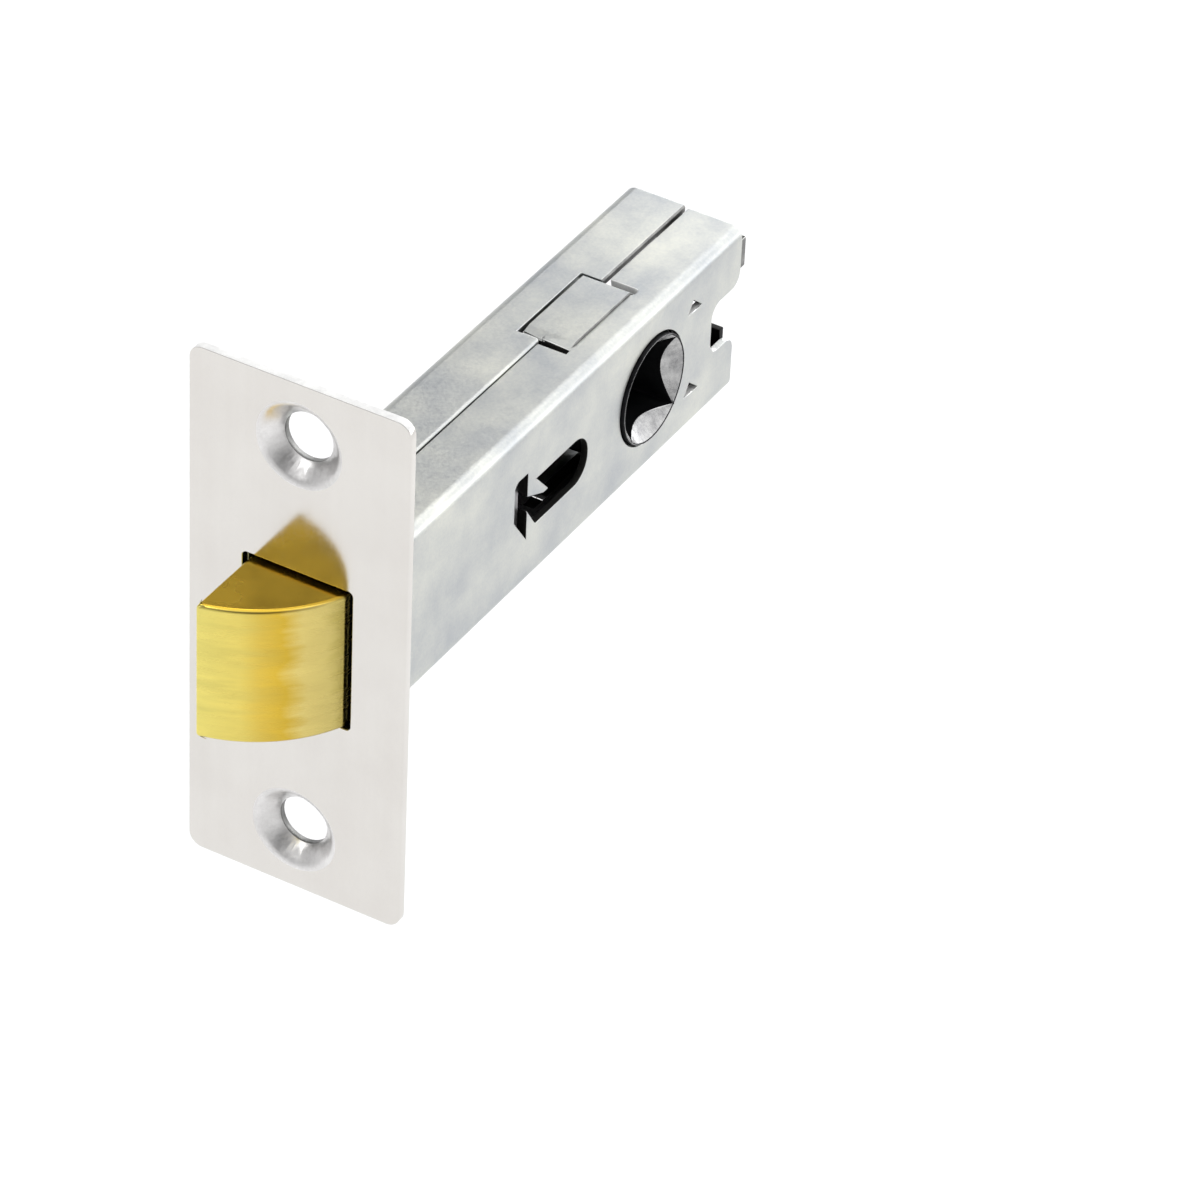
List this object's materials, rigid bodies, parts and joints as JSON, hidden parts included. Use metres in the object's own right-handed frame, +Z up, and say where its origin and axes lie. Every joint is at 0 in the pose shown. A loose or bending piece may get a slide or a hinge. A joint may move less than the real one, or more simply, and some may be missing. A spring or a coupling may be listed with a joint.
{
  "type": "tubular door latch",
  "caption": "Tubular mortice latch: a sprung brass bolt with a crowned bevel, a screwed forend and a slim folded steel case with a square-holed follower for a handle's spindle.",
  "frame": {"origin": "centre of the forend's front face, which lies flush with the door's edge", "axes": "+Z up along the forend, -Y out of the door's edge where the bolt shows, +Y back into the door along the case, spindle along X"},
  "size_m": [0.0244, 0.0827, 0.06],
  "materials": {
    "forend_steel": "satin nickel-plated steel",
    "case_steel": "bright zinc-plated sheet steel",
    "bolt_brass": "brushed brass",
    "bar_steel": "plain cold-rolled steel",
    "spring_steel": "drawn spring wire",
    "follower_steel": "zinc-plated sintered steel"
  },
  "bodies": {
    "case": {"forend": "forend_steel", "case_body": "case_steel", "case_cover": "case_steel", "spring_seat": "bar_steel", "bolt_spring": "spring_steel"},
    "bolt": {"latch_bolt": "bolt_brass", "draw_bar_upper": "bar_steel", "draw_bar_lower": "bar_steel"},
    "hub": {"follower": "follower_steel"}
  },
  "joints": [
    {"name": "latch_slide", "type": "slide", "parent": "case", "child": "bolt", "axis": [0, 1, 0], "range_m": [0, 0.0087], "stiffness_N_per_m": 900, "springref_m": -0.006, "deforming": ["bolt_spring"]},
    {"name": "follower_turn", "type": "hinge", "parent": "case", "child": "hub", "pos_m": [0, 0.05535, 0], "axis": [1, 0, 0], "range_deg": [0, 70.1]}
  ],
  "couplings": [
    {"joint": "follower_turn", "follows": "latch_slide", "rad_per_m": 140.43}
  ]
}
